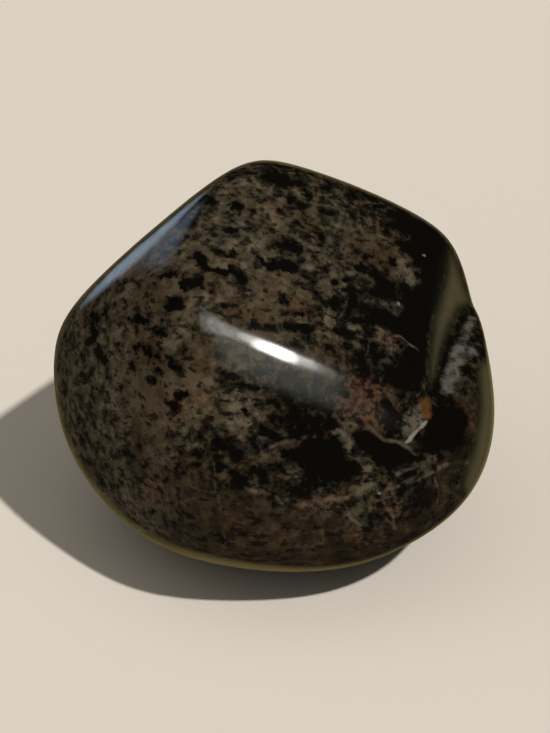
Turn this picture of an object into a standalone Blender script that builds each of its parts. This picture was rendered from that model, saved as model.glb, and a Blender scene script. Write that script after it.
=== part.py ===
"""A tumbled stone: a small broken block of dark rock, worn round and polished all over.

Run it with blender --background --python part.py, or from Blender's text editor. Units are
metres, +Z is up, and the origin is at the bottom centre of the stone, on the surface it rests on.
The front is towards -Y.
"""

from math import pi

import bmesh
import bpy
import numpy as np

MM = 0.001

# Driving dimensions

# The broken block, before it was worn. Each face has a direction, as degrees to the right of the
# front and degrees above level, its distance from the middle of the stone, and the radius of its
# bulge. A radius of 0 is a flat face.
FACES = {
    "brow": (44, 53, 10.7 * MM, 110 * MM),
    "belly": (12, 18, 12.4 * MM, 110 * MM),
    "left shoulder": (-66, 55, 14.3 * MM, 40 * MM),
    "left cheek": (-46, 10, 13.8 * MM, 60 * MM),
    "left side": (-94, 0, 15.4 * MM, 30 * MM),
    "top left": (-123, 40, 12.2 * MM, 0),
    "crown": (-150, 62, 17.5 * MM, 0),
    "top right": (144, 55, 13.6 * MM, 60 * MM),
    "right side": (94, 12, 14.6 * MM, 0),
    "right cheek": (80, -12, 15.9 * MM, 60 * MM),
    "chin": (-12, -52, 14.2 * MM, 60 * MM),
    "left foot": (-60, -36, 15.1 * MM, 60 * MM),
    "right foot": (48, -52, 14.9 * MM, 60 * MM),
    "underside": (0, -90, 13.0 * MM, 60 * MM),
    "back": (180, 0, 12.6 * MM, 60 * MM),
    "back left": (-135, -10, 14.5 * MM, 60 * MM),
    "back right": (135, -5, 14.5 * MM, 60 * MM),
    "back foot": (175, -48, 14.5 * MM, 60 * MM),
}

# How far the faces are worn into one another: a higher number leaves crisper edges.
WEAR = 15.0

# A chip broke out of the right side late, so its edges are crisper. Its steep flank and its
# domed floor meet in a valley.
CHIP_FLANK = (71, 22, 12.1 * MM, 0)
CHIP_FLOOR = (89, -63, 37.4 * MM, 19.8 * MM)
CHIP_VALLEY = 60.0
CHIP_EDGE = 60.0

# The flat that the stone rests on, this far below the middle.
REST_DEPTH = 12.82 * MM

# The surface is a cube's, with this many quads along each side, blown up to the stone's shape.
QUADS = 26

COLOUR = (0.022, 0.018, 0.014, 1.0)
ROUGHNESS = 0.16


# The stone's shape: how far the surface is from the middle, in every direction


def direction(turn, rise):
    """The unit vector this many degrees to the right of the front and above level."""
    turn, rise = np.radians(turn), np.radians(rise)
    return np.array([np.cos(rise) * np.sin(turn), -np.cos(rise) * np.cos(turn), np.sin(rise)])


def nearness(ways, turn, rise, distance, bulge):
    """One over the distance from the middle to a face, along each of these directions.

    A flat face is a plane, and a bulging one is part of a sphere that has the middle inside it.
    """
    curve = 1 / bulge if bulge else 0.0
    facing = ways @ direction(turn, rise)
    lean = facing * (1 - curve * distance)
    span = distance * (2 - curve * distance)
    return (lean + np.sqrt(lean**2 + curve * span)) / span


def blend(values, crispness):
    """The largest of these, rounded where two are nearly equal. Less than 0 takes the smallest."""
    return sum(value**crispness for value in values) ** (1 / crispness)


def reach(ways):
    """The distance from the middle to the surface of the stone, along each direction."""
    limit = 1 / (100 * MM)
    faces = [np.maximum(nearness(ways, *face), limit) for face in FACES.values()]
    worn = blend(faces, WEAR)
    flank = np.maximum(nearness(ways, *CHIP_FLANK), limit)
    floor = np.maximum(nearness(ways, *CHIP_FLOOR), limit)
    chipped = blend([worn, blend([flank, floor], -CHIP_VALLEY)], CHIP_EDGE)
    rested = np.maximum(chipped, -ways[:, 2] / REST_DEPTH)
    return 1 / rested


# Making it


def clear_scene():
    for obj in list(bpy.data.objects):
        bpy.data.objects.remove(obj, do_unlink=True)


def stone_mesh(name):
    bm = bmesh.new()
    bmesh.ops.create_cube(bm, size=2.0)
    bmesh.ops.subdivide_edges(bm, edges=bm.edges[:], cuts=QUADS - 1, use_grid_fill=True)
    on_cube = np.array([vert.co for vert in bm.verts])

    # The tangent evens out the quads, which would crowd at the cube's corners on a ball.
    ways = np.tan(on_cube * pi / 4)
    ways /= np.linalg.norm(ways, axis=1, keepdims=True)
    points = ways * reach(ways)[:, None]

    # The origin goes to the bottom centre of the box around the stone.
    low, high = points.min(axis=0), points.max(axis=0)
    points -= ((low[0] + high[0]) / 2, (low[1] + high[1]) / 2, low[2])
    for vert, point in zip(bm.verts, points):
        vert.co = point

    mesh = bpy.data.meshes.new(name)
    bm.to_mesh(mesh)
    bm.free()
    mesh.shade_smooth()
    return mesh


def stone_material():
    material = bpy.data.materials.new("polished dark stone")
    material.use_nodes = True
    shader = material.node_tree.nodes["Principled BSDF"]
    shader.inputs["Base Color"].default_value = COLOUR
    shader.inputs["Roughness"].default_value = ROUGHNESS
    shader.inputs["Metallic"].default_value = 0.0
    return material


clear_scene()
collection = bpy.data.collections.new("tumbled stone")
bpy.context.scene.collection.children.link(collection)
stone = bpy.data.objects.new("stone", stone_mesh("stone"))
stone.data.materials.append(stone_material())
collection.objects.link(stone)
print("stone:", " x ".join(f"{side * 1000:.1f}" for side in stone.dimensions), "mm")
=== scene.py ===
# %% [markdown]
# A tumbled stone, about 30 mm across. It began as a small broken block of a dark, fine-grained
# rock. Weeks in a tumbler with finer and finer grit rounded its corners and left it polished all
# over, and one chip that broke out late is still crisp. There is one piece here, the stone, and it
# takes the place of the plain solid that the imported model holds. Everything is in metres, with +Z
# up, the origin under the middle of the stone and the front towards -Y.

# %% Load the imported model
from math import cos, pi, radians, sin

import bpy
import numpy as np
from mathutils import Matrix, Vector


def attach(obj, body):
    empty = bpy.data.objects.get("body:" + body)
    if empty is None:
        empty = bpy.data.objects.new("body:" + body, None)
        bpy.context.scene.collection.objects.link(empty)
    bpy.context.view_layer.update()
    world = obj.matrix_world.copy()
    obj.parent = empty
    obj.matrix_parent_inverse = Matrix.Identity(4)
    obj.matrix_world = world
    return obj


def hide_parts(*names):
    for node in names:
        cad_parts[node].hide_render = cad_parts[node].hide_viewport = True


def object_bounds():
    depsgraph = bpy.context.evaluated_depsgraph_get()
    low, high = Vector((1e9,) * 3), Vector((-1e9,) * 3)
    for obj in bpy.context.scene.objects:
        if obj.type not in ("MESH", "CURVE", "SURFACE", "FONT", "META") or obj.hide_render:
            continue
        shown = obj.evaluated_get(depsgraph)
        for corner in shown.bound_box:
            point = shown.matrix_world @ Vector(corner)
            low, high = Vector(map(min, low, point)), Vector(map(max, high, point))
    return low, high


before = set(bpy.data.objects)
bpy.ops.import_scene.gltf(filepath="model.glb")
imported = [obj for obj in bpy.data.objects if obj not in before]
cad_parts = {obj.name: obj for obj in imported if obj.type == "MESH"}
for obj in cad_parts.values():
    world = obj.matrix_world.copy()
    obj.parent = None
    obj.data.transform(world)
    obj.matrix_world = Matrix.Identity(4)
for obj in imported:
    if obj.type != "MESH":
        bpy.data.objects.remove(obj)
cad_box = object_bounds()
MM = 0.001
print("the solid's box, in mm:")
for corner in cad_box:
    print([round(side / MM, 2) for side in corner])

# %% [markdown]
# A node tree is a sum drawn as boxes and wires. It is quicker to write the sum. Wire stands for
# one end of a wire, and Python's own signs on it add the Math nodes. Bench holds the tree, and its
# add makes every node: the node's settings are set first, because they can change which sockets
# it has. The same two classes serve the shape, the finish and the light.

# %% Wires that can be added and multiplied


class Wire:
    """A number, vector or colour that comes out of a node."""

    def __init__(self, bench, socket):
        self.bench = bench
        self.socket = socket

    def math(self, operation, *values, clamp=False):
        settings = {"operation": operation, "use_clamp": clamp}
        return self.bench.add("ShaderNodeMath", settings, dict(enumerate(values)))

    def __add__(self, other):
        return self.math("ADD", self, other)

    def __sub__(self, other):
        return self.math("SUBTRACT", self, other)

    def __mul__(self, other):
        return self.math("MULTIPLY", self, other)

    def __truediv__(self, other):
        return self.math("DIVIDE", self, other)

    def __pow__(self, other):
        return self.math("POWER", self, other)

    def __radd__(self, other):
        return self.math("ADD", other, self)

    def __rsub__(self, other):
        return self.math("SUBTRACT", other, self)

    def __rtruediv__(self, other):
        return self.math("DIVIDE", other, self)

    def __neg__(self):
        return self.math("MULTIPLY", self, -1.0)

    def at_least(self, other):
        return self.math("MAXIMUM", self, other)

    def at_most(self, other):
        return self.math("MINIMUM", self, other)

    def root(self):
        return self.math("SQRT", self)

    def between(self, low, high):
        """0 up to low, 1 from high on, and a soft step between them."""
        return self.bench.add(
            "ShaderNodeMapRange",
            {"interpolation_type": "SMOOTHSTEP"},
            {"Value": self, "From Min": low, "From Max": high},
        )


class Bench:
    """A node tree to build on."""

    def __init__(self, tree):
        self.tree = tree
        self.tree.nodes.clear()

    def add(self, kind, settings=None, sockets=None, out=0):
        """Adds a node and returns the wire from its output, if it has one."""
        node = self.tree.nodes.new(kind)
        for name, value in (settings or {}).items():
            setattr(node, name, value)
        for name, value in (sockets or {}).items():
            if isinstance(value, Wire):
                self.tree.links.new(value.socket, node.inputs[name])
            else:
                node.inputs[name].default_value = value
        return Wire(self, node.outputs[out]) if node.outputs else None

    def vector(self, operation, *values, scale=None, out="Vector"):
        sockets = dict(enumerate(values))
        if scale is not None:
            sockets["Scale"] = scale
        return self.add("ShaderNodeVectorMath", {"operation": operation}, sockets, out)

    def dot(self, one, other):
        return self.vector("DOT_PRODUCT", one, other, out="Value")

    def blend(self, amount, below, above):
        """The colour above laid over the colour below, by an amount from 0 to 1."""
        settings = {"data_type": "RGBA", "clamp_factor": True}
        return self.add("ShaderNodeMix", settings, {0: amount, 6: below, 7: above}, 2)

    def noise(self, place, size, detail=2.0, rough=0.5, seed=0.0, out=0):
        """Cloudy noise about 0.5, with patches about this many millimetres across."""
        where = self.vector("ADD", place, (seed, seed * 1.7, -seed))
        sockets = {"Vector": where, "Scale": 1 / size, "Detail": detail, "Roughness": rough}
        return self.add("ShaderNodeTexNoise", {}, sockets, out)


def direction(turn, rise):
    """The unit vector this many degrees to the right of the front and above level."""
    turn, rise = radians(turn), radians(rise)
    return Vector((cos(rise) * sin(turn), -cos(rise) * cos(turn), sin(rise)))


print("straight ahead:", tuple(round(part, 3) for part in direction(0, 0)))

# %% [markdown]
# The stone's shape follows a rule, so Geometry Nodes make it. A block of flat and bulging faces is
# worn until the faces run into one another. Seen from the middle, the nearest face is the surface,
# and one over the distance to each face, raised to a high power and summed, gives the nearest one
# with its edges rounded. The rule and the sizes are the solid's own. Here they get a finer mesh,
# which also holds the slight swells and ripples that hand and tumbler leave in a polished face.

# %% The faces of the block
# Degrees to the right of the front, degrees above level, millimetres from the middle, and the
# radius of the bulge in millimetres, with 0 for a flat face.
FACES = {
    "brow": (44, 53, 10.7, 110),
    "belly": (12, 18, 12.4, 110),
    "left shoulder": (-66, 55, 14.3, 40),
    "left cheek": (-46, 10, 13.8, 60),
    "left side": (-94, 0, 15.4, 30),
    "top left": (-123, 40, 12.2, 0),
    "crown": (-150, 62, 17.5, 0),
    "top right": (144, 55, 13.6, 60),
    "right side": (94, 12, 14.6, 0),
    "right cheek": (80, -12, 15.9, 60),
    "chin": (-12, -52, 14.2, 60),
    "left foot": (-60, -36, 15.1, 60),
    "right foot": (48, -52, 14.9, 60),
    "underside": (0, -90, 13.0, 60),
    "back": (180, 0, 12.6, 60),
    "back left": (-135, -10, 14.5, 60),
    "back right": (135, -5, 14.5, 60),
    "back foot": (175, -48, 14.5, 60),
}
CHIP = {
    "chip flank": (71, 22, 12.1, 0),
    "chip floor": (89, -63, 37.4, 19.8),
}
OTHER_SIZES = {
    "wear": 15.0,
    "chip valley": 60.0,
    "chip edge": 60.0,
    "rest depth": 12.82,
    "swell size": 7.0,
    "swell height": 0.05,
    "ripple size": 2.2,
    "ripple height": 0.008,
}
POINTS_A_SIDE = 121
# The middle of the rule, in the solid's frame
MIDDLE = Vector((0.115, 0.867, 12.82)) * MM
print(len(FACES), "faces, and a chip of", len(CHIP))

# %% [markdown]
# Every distance, bulge and amount of wear goes into the tree as a named input, so that a modifier
# panel can make another stone from the same tree. Blender gives each input an identifier as well
# as its name, and it is the identifier that sets the value later.

# %% The tree that makes the stone
shape = Bench(bpy.data.node_groups.new("worn block", "GeometryNodeTree"))
sizes = {}


def size_input(name, value, kind="NodeSocketFloat"):
    """A named input of the tree. Its identifier sets it on the modifier later."""
    socket = shape.tree.interface.new_socket(name=name, in_out="INPUT", socket_type=kind)
    sizes[socket.identifier] = value
    return socket.name


for name, (turn, rise, distance, bulge) in (FACES | CHIP).items():
    size_input(name + " distance", float(distance))
    size_input(name + " bulge", float(bulge))
for name, value in OTHER_SIZES.items():
    size_input(name, value)
size_input("points a side", POINTS_A_SIDE, "NodeSocketInt")
size_input("finish", None, "NodeSocketMaterial")
shape.tree.interface.new_socket(name="Stone", in_out="OUTPUT", socket_type="NodeSocketGeometry")
given = shape.tree.nodes.new("NodeGroupInput")


def size_of(name):
    return Wire(shape, given.outputs[name])


print(len(sizes), "named inputs")

# %% [markdown]
# The mesh starts as a cube's, which has no poles and no long thin faces. Each of its points gives
# one direction out from the middle of the stone, and the rule then says how far out the surface
# is in that direction.

# %% From a cube to directions
side = size_of("points a side")
cube = shape.add(
    "GeometryNodeMeshCube",
    {},
    {"Size": (2, 2, 2), "Vertices X": side, "Vertices Y": side, "Vertices Z": side},
)
# The tangent evens out the quads, which would crowd at the cube's corners on a ball.
on_cube = shape.add("GeometryNodeInputPosition")
evened = shape.vector("TANGENT", shape.vector("SCALE", on_cube, scale=pi / 4))
ways = shape.vector("NORMALIZE", evened)
print("a cube of", POINTS_A_SIDE, "points a side")

# %% From directions to the surface
UNIT = 12.0  # mm: nearness is counted in this, so that its high powers stay near 1
LEAST = 0.3  # a face that points away counts as this near


def nearness(name):
    """UNIT over the distance from the middle to a face. A bulging face is part of a sphere."""
    turn, rise = (FACES | CHIP)[name][:2]
    distance = size_of(name + " distance")
    curve = 1.0 / size_of(name + " bulge")  # a Math node gives 0 for one over 0
    lean = shape.dot(ways, direction(turn, rise)) * (1.0 - curve * distance)
    span = distance * (2.0 - curve * distance)
    near = (lean + (lean * lean + curve * span).at_least(0.0).root()) * UNIT / span
    return near.at_least(LEAST)


def rounded(values, crispness):
    """The largest, rounded where two are nearly equal. A crispness under 0 takes the smallest."""
    total = values[0] ** crispness
    for value in values[1:]:
        total = total + value**crispness
    return total ** (1.0 / crispness)


block = rounded([nearness(name) for name in FACES], size_of("wear"))
flank, floor = nearness("chip flank"), nearness("chip floor")
chip = rounded([flank, floor], -size_of("chip valley"))
chipped = rounded([block, chip], size_of("chip edge"))
down = shape.dot(ways, (0.0, 0.0, -1.0)) * UNIT / size_of("rest depth")
reach = UNIT / chipped.at_least(down)
print(len(shape.tree.nodes), "nodes to find the surface")

# %% [markdown]
# A tumbled face is never quite even. The polish shows it: light that slides over the face wavers
# a little. So the surface swells by a few hundredths of a millimetre over each 7 mm or so, and
# ripples by a few thousandths over each 2 mm.

# %% Slight swells and ripples
even = shape.vector("SCALE", ways, scale=reach)


def unevenness(name, seed):
    """Slow noise, as millimetres above and below the even surface."""
    where = shape.vector("SCALE", even, scale=1.0 / size_of(name + " size"))
    return (shape.noise(where, 1.0, 1.0, 0.4, seed) - 0.5) * size_of(name + " height") * 2.0


relief = unevenness("swell", 3.0) + unevenness("ripple", 8.0)
# The flat underneath stays flat.
relief = relief * (down / chipped).between(1.0, 0.9)
surface = shape.vector("SCALE", ways, scale=(reach + relief) * MM)
placed = shape.vector("ADD", surface, tuple(MIDDLE))
swell, ripple = OTHER_SIZES["swell height"], OTHER_SIZES["ripple height"]
print("swells to", swell, "mm, ripples to", ripple, "mm")

# %% The end of the tree
stone_shape = shape.add("GeometryNodeSetPosition", {}, {"Geometry": cube, "Position": placed})
stone_shape = shape.add("GeometryNodeSetShadeSmooth", {}, {"Geometry": stone_shape})
stone_shape = shape.add("GeometryNodeRealizeInstances", {}, {"Geometry": stone_shape})
stone_shape = shape.add(
    "GeometryNodeSetMaterial", {}, {"Geometry": stone_shape, "Material": size_of("finish")}
)
shape.add("NodeGroupOutput", {}, {0: stone_shape})
print(len(shape.tree.nodes), "nodes in the shape's tree")

# %% [markdown]
# The modifier runs on an object that holds nothing, and the mesh that comes out is copied to the
# stone's own object. The stone then is a plain mesh with one material, whose nodes come later.

# %% Make the stone
finish = bpy.data.materials.new("polished_dark_stone")
finish.use_nodes = True
holder = bpy.data.objects.new("stone_holder", bpy.data.meshes.new("empty"))
bpy.context.scene.collection.objects.link(holder)
modifier = holder.modifiers.new("worn block", "NODES")
modifier.node_group = shape.tree
for identifier, value in sizes.items():
    modifier[identifier] = finish if value is None else value
grown = holder.evaluated_get(bpy.context.evaluated_depsgraph_get())
mesh = bpy.data.meshes.new_from_object(grown)
mesh.name = "polished_stone"
stone = bpy.data.objects.new("polished_stone", mesh)
bpy.context.scene.collection.objects.link(stone)
bpy.data.objects.remove(holder)
points = np.empty(len(mesh.vertices) * 3)
mesh.vertices.foreach_get("co", points)
points = points.reshape(-1, 3)
low, high = np.round(points.min(0) / MM, 2), np.round(points.max(0) / MM, 2)
print("the stone:", 2 * len(mesh.polygons), "triangles, from", low, "to", high, "mm")

# %% [markdown]
# The camera looks down at the middle of the stone from 30 degrees above level, 150 mm away.
# It comes before the finish because the marks on the front of the stone are placed by where they
# are in the picture.

# %% The camera
RISE = 30.0
AWAY = 150.0 * MM
PICTURE = (550, 733)
PIXELS_PER_MM = 14.57  # in the plane of the stone's middle
camera = bpy.data.objects.new("camera", bpy.data.cameras.new("camera"))
bpy.context.scene.collection.objects.link(camera)
bpy.context.scene.camera = camera
towards = direction(0, RISE)
camera.location = MIDDLE + AWAY * towards
camera.rotation_euler = (radians(90 - RISE), 0, 0)
camera.data.sensor_width = 36.0
camera.data.lens = 36.0 * AWAY / (PICTURE[1] / PIXELS_PER_MM * MM)
camera.data.clip_start = 0.01
across, upward = Vector((1, 0, 0)), direction(180, 90 - RISE)
print("lens:", round(camera.data.lens, 1), "mm")


def picture_of(points):
    """Where these points are in the picture, in pixels from its top left corner."""
    offset = np.asarray(points) - np.array(MIDDLE)
    depth = AWAY - offset @ np.array(towards)
    scale = PIXELS_PER_MM / MM * AWAY / depth
    x = PICTURE[0] / 2 + offset @ np.array(across) * scale
    y = PICTURE[1] / 2 - offset @ np.array(upward) * scale
    return np.stack([x, y], axis=1)


# %% [markdown]
# The photograph shows the front of this stone, so its larger marks are put where they are there.
# Each mark is an outline or a stroke drawn over the picture, in pixels. Every point of the
# mesh that faces the camera is looked up in the picture, and keeps how far inside a mark it is, in
# millimetres. The finish turns that distance into an edge, and noise frays the edge, so that the
# marks look grown and not drawn. The marks end where the camera's view of the stone ends, and only
# the black patches go on round the sides and the back, from noise.

# %% How far inside a mark a point is
normals = np.empty(len(mesh.vertices) * 3)
mesh.vertices.foreach_get("normal", normals)
to_camera = np.array(camera.location) - points
to_camera /= np.linalg.norm(to_camera, axis=1, keepdims=True)
facing_camera = (normals.reshape(-1, 3) * to_camera).sum(1)
seen_at = picture_of(points)
FAR = 30.0  # pixels: how far outside every mark a point starts
EDGE_ON = 0.05  # a point that faces the camera less than this keeps no mark


def from_line(line, closed=False):
    """How far each point of the mesh is from a line in the picture, in pixels."""
    nearest = np.full(len(seen_at), np.inf)
    ends = line[1:] + line[:1] if closed else line[1:] or line
    for (ax, ay), (bx, by) in zip(line, ends):
        start, step = np.array((ax, ay), float), np.array((bx - ax, by - ay), float)
        offset = seen_at - start
        along = np.clip(offset @ step / max(step @ step, 1e-9), 0, 1)
        nearest = np.minimum(nearest, np.linalg.norm(offset - along[:, None] * step, axis=1))
    return nearest


def inside_outline(outline):
    """How far inside a closed outline each point of the mesh is, less than 0 outside it."""
    x, y = seen_at.T
    inside = np.zeros(len(seen_at), bool)
    for (ax, ay), (bx, by) in zip(outline, outline[1:] + outline[:1]):
        if ay != by:
            crossing = (ay > y) != (by > y)
            inside ^= crossing & (x < (bx - ax) * (y - ay) / (by - ay) + ax)
    return np.where(inside, 1, -1) * from_line(outline, closed=True)


def keep(name, values):
    """Stores one value for each point of the mesh, for the finish to read."""
    kept = mesh.attributes.new(name, "FLOAT", "POINT")
    kept.data.foreach_set("value", values.astype(np.float32))


def keep_marks(name, strokes=(), outlines=()):
    """Stores how far inside the nearest mark each point of the mesh is, in millimetres."""
    depth = np.full(len(seen_at), -FAR)
    for width, *line in strokes:
        depth = np.maximum(depth, width / 2 - from_line(line))
    for outline in outlines:
        depth = np.maximum(depth, inside_outline(list(outline)))
    depth = np.where(facing_camera > EDGE_ON, depth, -FAR) / PIXELS_PER_MM
    keep(name, depth)
    print(name + ":", len(strokes) + len(outlines), "drawn,", int((depth > 0).sum()), "points in")


# 1 on the front, which the camera sees well, falling to 0 where it sees the stone edge-on
keep("front", np.clip((facing_camera - 0.12) / 0.2, 0, 1))
print(int((facing_camera > EDGE_ON).sum()), "of", len(points), "points face the camera")

# %% [markdown]
# The front has two kinds of black: about sixty loose grains, which are strokes a millimetre or
# less wide, and five large patches, which are outlines. Two of the strokes are painted shade in
# the crease of the chip's valley. The other marks are fewer: rust where the rock has iron in it,
# smooth brown rock low on the front with a painted reflection of the floor in it, a grey crystal
# with an orange one beside it, painted glints, the rough grey band in the chip, an olive painted
# reflection on the chip's flank and the right rim, and the places where the polish is dull.

# %% The black grains and patches
# A stroke is its width and then its points. An outline is only points.
BLACK_STROKES = [
    (13, (268, 177), (284, 182)), (11, (234, 205), (239, 208)), (8, (204, 200), (210, 201)),
    (11, (184, 219), (192, 223)), (12, (198, 256), (201, 261)), (7, (216, 251), (234, 254)),
    (9, (218, 270), (226, 276)), (10, (232, 270), (242, 280)), (13, (186, 285), (198, 282)),
    (14, (171, 306), (177, 304)), (9, (126, 317), (129, 319)), (7, (93, 316), (92, 331)),
    (7, (138, 319), (146, 321)), (7, (158, 331), (166, 335)), (9, (137, 348), (150, 349)),
    (9, (99, 349), (105, 362)), (8, (161, 277), (174, 274)), (7, (146, 355), (158, 357)),
    (8, (170, 358), (172, 366), (180, 368)), (8, (149, 380), (155, 383)),
    (6, (131, 364), (134, 370)), (6, (122, 384), (124, 388)), (7, (158, 370), (164, 371)),
    (8, (178, 396), (186, 394)), (10, (216, 442), (226, 446), (236, 455)),
    (8, (194, 452), (201, 455)), (5, (222, 373), (238, 378)), (7, (242, 385), (256, 388)),
    (11, (262, 429), (276, 436)), (8, (250, 441), (254, 443)),
    (7, (252, 470), (264, 473)), (8, (282, 420), (298, 414)), (8, (274, 243), (286, 246)),
    (12, (288, 243), (296, 249)), (12, (272, 266), (294, 266)), (8, (282, 297), (286, 301)),
    (9, (286, 326), (310, 330)), (6, (252, 326), (276, 330)), (5, (282, 313), (302, 314)),
    (8, (322, 211), (331, 213)), (5, (348, 195), (354, 198)), (8, (300, 184), (309, 195)),
    (6, (292, 199), (303, 207)), (6, (334, 282), (354, 277)), (6, (346, 289), (362, 293)),
    (8, (352, 303), (348, 314)), (7, (346, 318), (366, 322)), (6, (322, 302), (327, 305)),
    (8, (337, 330), (352, 336)), (8, (362, 356), (366, 374)), (8, (338, 390), (346, 394)),
    (9, (386, 404), (394, 414)), (8, (386, 427), (402, 433)),
    # The next two strokes are painted shade: the dark crease of the chip's valley.
    (6, (470, 312), (458, 328), (450, 348), (443, 370)),
    (7, (464, 317), (453, 338), (445, 360), (440, 382)),
    (9, (448, 402), (456, 414)), (8, (172, 404), (176, 407)), (6, (244, 411), (248, 414)),
    (8, (236, 479), (240, 486)), (6, (125, 451), (132, 456)), (6, (96, 336), (86, 344)),
    (7, (204, 266), (212, 269)), (6, (258, 256), (262, 262)), (6, (222, 229), (236, 231)),
]
BLACK_OUTLINES = [
    ((388, 210), (405, 213), (425, 221), (440, 233), (448, 246), (447, 262), (442, 280), (437, 300),
     (431, 318), (427, 340), (427, 365), (423, 378), (410, 388), (394, 387), (384, 376), (396, 366),
     (402, 352), (412, 347), (400, 338), (382, 327), (374, 318), (360, 311), (355, 303), (374, 306),
     (396, 315), (404, 308), (400, 300), (410, 290), (423, 281), (424, 273), (413, 266), (412, 256),
     (400, 250), (400, 242), (410, 236), (396, 232), (388, 227), (396, 221)),
    ((354, 264), (364, 264), (376, 271), (396, 283), (397, 293), (387, 299), (371, 296), (364, 290),
     (377, 283), (372, 277), (357, 270)),
    ((283, 457), (286, 448), (304, 443), (308, 439), (334, 437), (343, 447), (347, 458), (360, 462),
     (363, 470), (357, 477), (338, 482), (318, 478), (306, 470), (295, 462)),
    ((349, 433), (372, 429), (384, 436), (405, 447), (427, 457), (418, 462), (396, 469), (380, 466),
     (366, 455), (358, 444)),
    ((425, 430), (432, 415), (440, 404), (452, 405), (463, 409), (467, 425), (465, 440), (456, 451),
     (432, 450), (416, 445)),
]
keep_marks("black", BLACK_STROKES, BLACK_OUTLINES)

# %% The other marks
keep_marks(
    "rust",
    [(10, (176, 404), (172, 420)), (12, (196, 396), (206, 402)), (12, (152, 488), (158, 496)),
     (7, (268, 207), (276, 214)), (7, (296, 302), (302, 308)), (6, (300, 505), (326, 502)),
     (6, (222, 258), (234, 262)), (6, (388, 336), (392, 342)), (8, (386, 503), (396, 512)),
     (6, (354, 534), (362, 540)), (5, (330, 500), (346, 496))],
    [((332, 404), (344, 390), (351, 380), (371, 381), (380, 392), (378, 410), (381, 423),
      (364, 425), (349, 420), (339, 412))],
)
# Brown rock low on the front, with a painted reflection of the lit floor in it.
keep_marks("low_brown_and_reflection", [(24, (466, 400), (466, 440), (458, 470), (440, 500))], [
    ((170, 480), (205, 478), (232, 490), (258, 497), (282, 506), (330, 506), (350, 515), (372, 530),
     (400, 522), (430, 508), (470, 480), (470, 540), (300, 590), (200, 580), (150, 545),
     (182, 515)),
])
keep_marks("pale", [
    (9, (262, 210), (272, 216)), (12, (236, 408), (248, 402)), (9, (240, 420), (256, 432)),
    (10, (340, 428), (352, 450), (366, 470), (374, 486)), (9, (400, 262), (410, 278)),
    (8, (330, 310), (322, 330)), (7, (342, 322), (356, 330)), (8, (210, 300), (230, 306)),
    (8, (120, 330), (134, 336)), (8, (165, 345), (176, 340)),
])
keep_marks("lighter", [], [
    ((200, 190), (260, 175), (330, 205), (385, 225), (410, 255), (410, 290), (330, 290), (320, 330),
     (240, 310), (200, 330), (110, 325), (110, 300), (150, 260), (190, 240)),
    ((95, 330), (200, 330), (215, 395), (270, 390), (262, 430), (230, 440), (200, 425),
     (120, 440), (100, 400)),
])
keep_marks(
    "darker",
    [(26, (196, 214), (240, 180), (292, 168)), (30, (225, 470), (330, 490)),
     (40, (300, 400), (345, 440)), (26, (425, 300), (420, 400), (450, 450))],
    [((215, 440), (245, 405), (335, 400), (345, 440), (345, 500), (300, 505), (240, 490),
      (215, 470))],
)
keep_marks("crystal", [], [((401, 424), (409, 412), (421, 404), (425, 421), (407, 443))])
# Painted glints: the lit edge of the grey crystal and three tiny sparkles, put in as pale colour.
keep_marks("bright", [
    (3.5, (407, 442), (416, 432), (426, 422)), (1.6, (423, 255), (425, 256)),
    (1.6, (398, 303), (399, 304)), (2.2, (378, 493), (380, 494)),
])
keep_marks("orange", [(8, (425, 402), (427, 414))])
keep_marks("broken", [
    (8, (472, 322), (464, 338)), (13, (460, 348), (453, 368), (448, 386)),
    (8, (461, 357), (474, 352)),
])
# Where the polish is dull: the black floor of the chip, and the right end of the front ridge
keep_marks("dull", [(56, (438, 425), (455, 425))])
keep_marks("matt", [(44, (362, 392), (385, 400), (412, 420))])
# Painted reflection: olive where the chip's flank and the right rim mirror the floor, put into the
# rock's colour.
keep_marks("olive_reflection", [(30, (492, 372), (494, 410), (488, 450), (476, 486))], [
    ((449, 248), (458, 262), (468, 290), (474, 304), (460, 309), (449, 330), (441, 355), (436, 376),
     (431, 390), (428, 372), (430, 345), (434, 318), (440, 296), (446, 272)),
])

# %% [markdown]
# The finish is nearly black glassy rock with grey-brown crumbs through it. Noise of several sizes
# makes them: clouds that say where the rock is browner, grains about a millimetre across, crumbs a
# little smaller, fine speckle, and flat black pits. The grains and the speckle also fray the edges
# of the marks.

# %% The finish: the noises
paint = Bench(finish.node_tree)
metres = paint.add("ShaderNodeTexCoord", out="Object")
place = paint.vector("SCALE", metres, scale=1 / MM)


def drifting(detail, rough, seed, far):
    """The place, pushed about at random by up to half this many millimetres."""
    push = paint.noise(place, 1.3, detail, rough, seed, out=1)
    push = paint.vector("SUBTRACT", push, (0.5, 0.5, 0.5))
    return paint.vector("ADD", place, paint.vector("SCALE", push, scale=far))


bent = drifting(3, 0.6, 5.0, 0.6)
clouds = paint.noise(bent, 4.5, 3, 0.5, 1.0)
grain = paint.noise(bent, 1.0, 4, 0.6, 2.0)
speckle = paint.noise(place, 0.36, 3, 0.6, 3.0)
crumbs = paint.noise(place, 0.75, 2, 0.5, 7.0)
tint = paint.noise(bent, 1.9, 2, 0.5, 11.0)
warmth = paint.noise(place, 6.0, 2, 0.5, 17.0)
# The pits are a little wider than they are high.
pits = paint.noise(paint.vector("MULTIPLY", place, (0.7, 1.0, 1.35)), 0.6, 2, 0.6, 13.0)
print(len(paint.tree.nodes), "nodes for the noises")

# %% The finish: where the marks are
fray = (grain - 0.5) * 0.9 + (speckle - 0.5) * 0.9


def mark(name):
    """A value kept on the mesh."""
    return paint.add("ShaderNodeAttribute", {"attribute_name": name}, {}, "Fac")


def marked(name, soft=0.12, fraying=1.0):
    """1 inside a mark and 0 outside it, with a frayed edge."""
    return (mark(name) + fray * fraying).between(-soft, soft)


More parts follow.
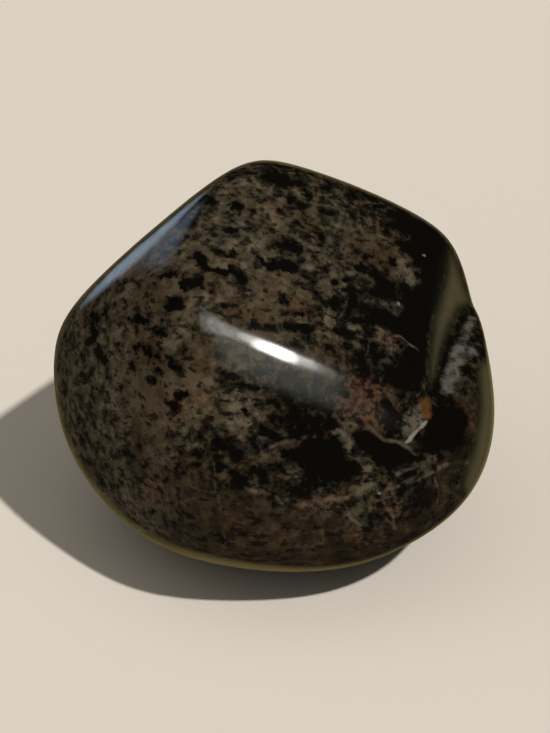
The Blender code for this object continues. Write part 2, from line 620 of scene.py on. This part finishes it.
# On the sides and the back, noise stands in for the drawn patches.
front_side = mark("front")
elsewhere = (clouds - 0.53) * 9.0 + (grain - 0.5) * 4.0
black_depth = mark("black") * front_side + elsewhere * (1.0 - front_side)
black = (black_depth + fray * 1.1).between(-0.14, 0.16)
olive_reflection = marked("olive_reflection", 0.3, 0.5)
broken = marked("broken", 0.25, 0.8) * 0.85
print(len(mesh.attributes), "values kept on the mesh, Blender's own among them")

# %% [markdown]
# The colours go on from the ground up: first the rock's own colour, from black through brown to
# pale taupe, by one sum of the noises. Rust, pits and black patches go over it, and the chip's
# colours, its painted olive reflection and the crystals over those. All of the colours are dark,
# because the polish, and not the rock, makes the bright places, apart from a few small painted
# glints.

# %% The finish: the colours
BLACK = (0.0028, 0.0023, 0.0018, 1.0)
DARK_BROWN = (0.013, 0.0093, 0.0052, 1.0)
DARK_OLIVE = (0.012, 0.0125, 0.0090, 1.0)
TAUPE = (0.046, 0.0375, 0.0235, 1.0)
PALE_TAUPE = (0.098, 0.082, 0.056, 1.0)
BROWN = (0.042, 0.026, 0.013, 1.0)
PALE_GRAIN = (0.105, 0.090, 0.062, 1.0)
# Brown rock low on the front, browned as a painted reflection of the floor.
LOW_BROWN_REFLECTION_DARK = (0.012, 0.008, 0.0045, 1.0)
LOW_BROWN_REFLECTION = (0.028, 0.018, 0.009, 1.0)
RUST_DARK = (0.026, 0.012, 0.007, 1.0)
RUST = (0.13, 0.068, 0.040, 1.0)
# The olive of the floor as the chip's flank and the right rim mirror it: a painted reflection.
REFLECTED_OLIVE_DIM = (0.020, 0.0185, 0.0085, 1.0)
REFLECTED_OLIVE = (0.066, 0.058, 0.032, 1.0)
GREY_CRYSTAL = (0.080, 0.072, 0.056, 1.0)
# Painted glint.
PAINTED_GLINT = (0.21, 0.20, 0.175, 1.0)
ORANGE_CRYSTAL = (0.085, 0.037, 0.010, 1.0)
BROKEN_DARK = (0.040, 0.036, 0.030, 1.0)
BROKEN_PALE = (0.110, 0.103, 0.092, 1.0)

# How pale the rock is: black below 0.41, and at its palest above 0.68. It darkens to the right.
sideways = paint.dot(place, (1.0, 0.0, 0.0))
rocky = crumbs * 0.48 + grain * 0.26 + speckle * 0.26 + (clouds - 0.5) * 0.25 - sideways * 0.0045
rocky = rocky + marked("lighter", 1.2) * 0.05 - marked("darker", 1.2) * 0.05
dark = paint.blend(tint.between(0.42, 0.60), DARK_OLIVE, DARK_BROWN)
low_brown_and_reflection = paint.blend(tint.between(0.35, 0.7), LOW_BROWN_REFLECTION_DARK, LOW_BROWN_REFLECTION)
rust = paint.blend(speckle.between(0.3, 0.7), RUST_DARK, RUST)
# The painted olive reflection, dimmer towards its edge.
olive_reflection_colour = paint.blend(mark("olive_reflection").between(0.0, 0.7), REFLECTED_OLIVE_DIM, REFLECTED_OLIVE)
broken_rock = paint.blend(crumbs.between(0.35, 0.6), BROKEN_DARK, BROKEN_PALE)
rock = BLACK
for amount, colour in [
    (rocky.between(0.41, 0.48), dark),
    (rocky.between(0.48, 0.56), TAUPE),
    (rocky.between(0.55, 0.68), PALE_TAUPE),
    (warmth.between(0.42, 0.70) * rocky.between(0.42, 0.52) * 0.6, BROWN),
    (marked("pale", 0.4, 1.6) * crumbs.between(0.35, 0.6) * 0.7, PALE_GRAIN),
    (marked("low_brown_and_reflection", 0.9, 2.0) * 0.6, low_brown_and_reflection),
    (marked("rust", 0.6, 1.6) * 0.5, rust),
    (pits.between(0.545, 0.63) * 0.8, BLACK),
    (black, BLACK),
    (olive_reflection * 0.9, olive_reflection_colour),
    (marked("crystal", 0.2, 0.4) * speckle.between(0.3, 0.6), GREY_CRYSTAL),
    (marked("bright", 0.06, 0.2) * 0.8, PAINTED_GLINT),
    (marked("orange", 0.2, 0.6) * 0.9, ORANGE_CRYSTAL),
    (broken, broken_rock),
]:
    rock = paint.blend(amount, rock, colour)
print(len(paint.tree.nodes), "nodes for the noises and the colours")

# %% [markdown]
# Pale veins cross the rock: cracks that healed. The clear ones are lines of points in the picture,
# and a ray from the camera through each point finds where it is on the stone. The finish measures
# how far every spot is from the line between two such points. A web of hair veins, from a cell
# pattern, fades in and out over the whole stone.

# %% The veins
VEIN_COLOUR = (0.100, 0.080, 0.054, 1.0)
CELL = 2.8  # mm: about how wide the cells of the web of hair veins are
wandering = drifting(1, 0.5, 29.0, 0.8)


def on_stone(x, y):
    """The point of the stone's surface that a pixel of the picture shows, in millimetres."""
    step = Vector((x - PICTURE[0] / 2, PICTURE[1] / 2 - y)) * MM / PIXELS_PER_MM
    target = MIDDLE + across * step.x + upward * step.y
    hit, point, *_ = stone.ray_cast(camera.location, (target - camera.location).normalized())
    assert hit, (x, y)
    return point / MM


def from_vein(line):
    """How far a point is from a line of points on the stone, in millimetres."""
    nearest = None
    corners = [on_stone(*corner) for corner in line]
    for start, end in zip(corners, corners[1:]):
        step = end - start
        offset = paint.vector("SUBTRACT", wandering, tuple(start))
        along = paint.dot(offset, tuple(step / step.length_squared))
        along = along.math("ADD", along, 0.0, clamp=True)
        gap = paint.vector("SUBTRACT", offset, paint.vector("SCALE", tuple(step), scale=along))
        length = paint.vector("LENGTH", gap, out="Value")
        nearest = length if nearest is None else nearest.at_most(length)
    return nearest


# Each vein has half its width in pixels, and then its points.
VEINS = [
    (1.5, ((272, 447), (290, 441), (306, 438))),
    (2.0, ((347, 423), (372, 429), (385, 437), (405, 446), (428, 457), (437, 461))),
    (1.5, ((436, 457), (422, 464), (396, 473))),
    (2.0, ((384, 490), (400, 484), (426, 477), (440, 468), (470, 462))),
    (2.5, ((298, 506), (325, 501), (346, 497), (372, 484))),
    (1.5, ((246, 488), (262, 492), (284, 504))),
    (1.5, ((162, 460), (176, 452), (198, 443))),
    (1.5, ((174, 505), (192, 498))),
    (1.5, ((377, 328), (400, 338), (418, 351))),
    (1.2, ((347, 508), (352, 520), (362, 524))),
    (1.5, ((382, 500), (392, 516), (398, 534))),
    (1.2, ((436, 480), (437, 506))),
    (1.2, ((120, 516), (130, 505), (126, 490))),
    (1.0, ((97, 474), (102, 490))),
    (1.2, ((320, 425), (314, 434))),
]
veins = None
for width, line in VEINS:
    amount = from_vein(line).between(width * 2.0 / PIXELS_PER_MM, 0.0)
    veins = amount if veins is None else veins.at_least(amount)
veins = veins * crumbs.between(0.30, 0.55) * speckle.between(0.25, 0.50)
cells = {"Vector": wandering, "Scale": 1 / CELL}
web = paint.add("ShaderNodeTexVoronoi", {"feature": "DISTANCE_TO_EDGE"}, cells, "Distance")
here_and_there = paint.noise(place, 3.0, 2, 0.5, 41.0).between(0.50, 0.62)
web = web.between(0.060, 0.0) * (1.0 - black) * here_and_there * speckle.between(0.35, 0.55)
veins = veins.at_least(web * 0.35) * (1.0 - olive_reflection)
rock = paint.blend(veins * 0.75, rock, VEIN_COLOUR)
print(len(VEINS), "veins,", len(paint.tree.nodes), "nodes so far")

# %% [markdown]
# The polish is a clear coat over rock that has no shine of its own. It is weaker where the tumbler
# didn't reach: on the rough band and the black floor of the chip, on the chip's flank, and at the
# right end of the front ridge. It is weaker towards the outline too, where a thin olive edge shows.

# %% The finish: the gloss
EDGE_COLOUR = (0.25, 0.22, 0.095, 1.0)
DIMPLE_DEPTH = 0.04 * MM
facing = paint.add("ShaderNodeLayerWeight", {}, {"Blend": 0.5}, "Facing")
dull = marked("dull", 0.6)
gloss = 1.0 - facing.between(0.25, 0.80) * 0.9
for worn, loss in [(broken, 0.9), (dull, 0.97), (marked("matt", 1.4), 0.85), (olive_reflection, 0.7)]:
    gloss = gloss * (1.0 - worn * loss)
dimples = paint.noise(place, 0.25, 3, 0.6, 31.0) * (0.15 + broken * 1.2)
relief = {"Strength": 0.25, "Distance": DIMPLE_DEPTH, "Height": dimples}
bump = paint.add("ShaderNodeBump", {}, relief)
skin = paint.add(
    "ShaderNodeBsdfPrincipled",
    {},
    {
        "Base Color": rock,
        "Roughness": 0.35 + broken * 0.3 + dull * 0.6,
        "IOR": 1.5,
        "Specular IOR Level": 0.0,
        "Coat Weight": gloss,
        "Coat Roughness": 0.11,
        "Coat IOR": 1.22,
        "Normal": bump,
    },
)
# Seen along its surface, the rock glows olive, as light that has been a little way in comes out.
edge_sheen = paint.add(
    "ShaderNodeBsdfPrincipled",
    {},
    {"Base Color": EDGE_COLOUR, "Roughness": 0.6, "Specular IOR Level": 0.0},
)
along_surface = facing.between(0.70, 1.0) * 0.75
skin = paint.add("ShaderNodeMixShader", {}, {0: along_surface, 1: skin, 2: edge_sheen})
paint.add("ShaderNodeOutputMaterial", {}, {"Surface": skin})
print(len(paint.tree.nodes), "nodes in the finish")

# %% [markdown]
# The floor is plain, pale and matt. The polish doesn't mirror it, because the photograph's stone
# hardly shows its slab: a dim warm light from below stands for it.

# %% The floor
FLOOR_COLOUR = (0.76, 0.715, 0.66, 1.0)
bpy.ops.mesh.primitive_circle_add(vertices=96, radius=2.0, fill_type="NGON", location=(0, 0, 0))
ground = bpy.context.object
ground.name = "pale_floor"
pale = bpy.data.materials.new("pale_floor")
pale.use_nodes = True
slab = Bench(pale.node_tree)
slab_skin = slab.add(
    "ShaderNodeBsdfPrincipled",
    {},
    {"Base Color": FLOOR_COLOUR, "Roughness": 0.8, "Specular IOR Level": 0.0},
)
slab.add("ShaderNodeOutputMaterial", {}, {"Surface": slab_skin})
ground.data.materials.append(pale)
ground.visible_glossy = False
print("a floor", ground.dimensions.x, "m across")

# %% [markdown]
# One lamp at the right front lights the stone and casts the shadow, and a wide, weak one fills in
# the shadow. What the polish mirrors is set apart from them: a row of small lamps for the bright
# streak on the ridge and its tail, and soft patches of sky for the glow below it and for the
# bluish sheen at the upper left.


# %% The light
def sun(name, turn, rise, strength, angle, colour):
    """A lamp far away in this direction, which looks this many degrees wide."""
    lamp = bpy.data.objects.new(name, bpy.data.lights.new(name, "SUN"))
    bpy.context.scene.collection.objects.link(lamp)
    lamp.data.energy = strength
    lamp.data.angle = radians(angle)
    lamp.data.color = colour
    lamp.rotation_euler = direction(turn, rise).to_track_quat("Z", "Y").to_euler()
    return lamp


key = sun("key", 38, 50, 2.8, 2.0, (1.0, 0.95, 0.88))
key.visible_glossy = False
fill = sun("fill", -40, 60, 0.80, 100.0, (1.0, 0.94, 0.84))
fill.visible_glossy = False
# The streak and its tail: degrees to the right and above level, strength, and width in degrees
STREAK = [
    (47.0, 41.0, 1.0, 5.0),
    (51.0, 43.0, 1.6, 5.0),
    (55.5, 45.0, 1.2, 5.0),
    (49.0, 47.0, 0.55, 9.0),
    (41.0, 52.0, 0.60, 14.0),
    (29.0, 56.0, 0.60, 18.0),
    (14.0, 59.0, 0.45, 20.0),
]
for number, (turn, rise, strength, width) in enumerate(STREAK, start=1):
    streak = sun(f"streak {number}", turn, rise, strength, width, (1.0, 0.98, 0.93))
    streak.visible_diffuse = False
print(len(STREAK) + 2, "lamps")

# %% The sky
BASE_LIGHT = (0.035, 0.035, 0.028, 1.0)
FLOOR_LIGHT = (0.12, 0.11, 0.09, 1.0)
SEEN_BEHIND = (0.80, 0.76, 0.68, 1.0)
world = bpy.data.worlds.new("studio")
bpy.context.scene.world = world
world.use_nodes = True
sky = Bench(world.node_tree)
looking = sky.add("ShaderNodeTexCoord", out="Generated")


def lobe(turn, rise, inner, outer):
    """1 within this many degrees of a direction, falling softly to 0."""
    return sky.dot(looking, direction(turn, rise)).between(cos(radians(outer)), cos(radians(inner)))


below = sky.dot(looking, (0.0, 0.0, -1.0)).between(0.0, 0.15)
light = BASE_LIGHT
for amount, colour in [
    (lobe(32, 35, 4, 24), (4.6, 4.8, 4.2, 1.0)),
    (lobe(14, 61, 2, 16), (3.4, 3.6, 3.6, 1.0)),
    (below, FLOOR_LIGHT),
    (lobe(-137, 34, 2, 18), (2.2, 2.8, 3.7, 1.0)),
    (lobe(-147, 7, 2, 18), (6.0, 7.7, 10.0, 1.0)),
]:
    light = sky.blend(amount, light, colour)
# Only the polish sees the patches. The camera sees a plain backdrop.
mirrored = sky.add("ShaderNodeLightPath", out="Is Glossy Ray")
light = sky.blend(mirrored, BASE_LIGHT, light)
seen = sky.add("ShaderNodeLightPath", out="Is Camera Ray")
light = sky.blend(seen, light, SEEN_BEHIND)
glow = sky.add("ShaderNodeBackground", {}, {"Color": light, "Strength": 1.0})
sky.add("ShaderNodeOutputWorld", {}, {"Surface": glow})
bpy.context.scene.view_settings.view_transform = "Standard"
print(len(sky.tree.nodes), "nodes in the sky")

# %% [markdown]
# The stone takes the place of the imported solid, and rides on the one body there is.

# %% Hand the stone over
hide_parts("stone")
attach(stone, "root")
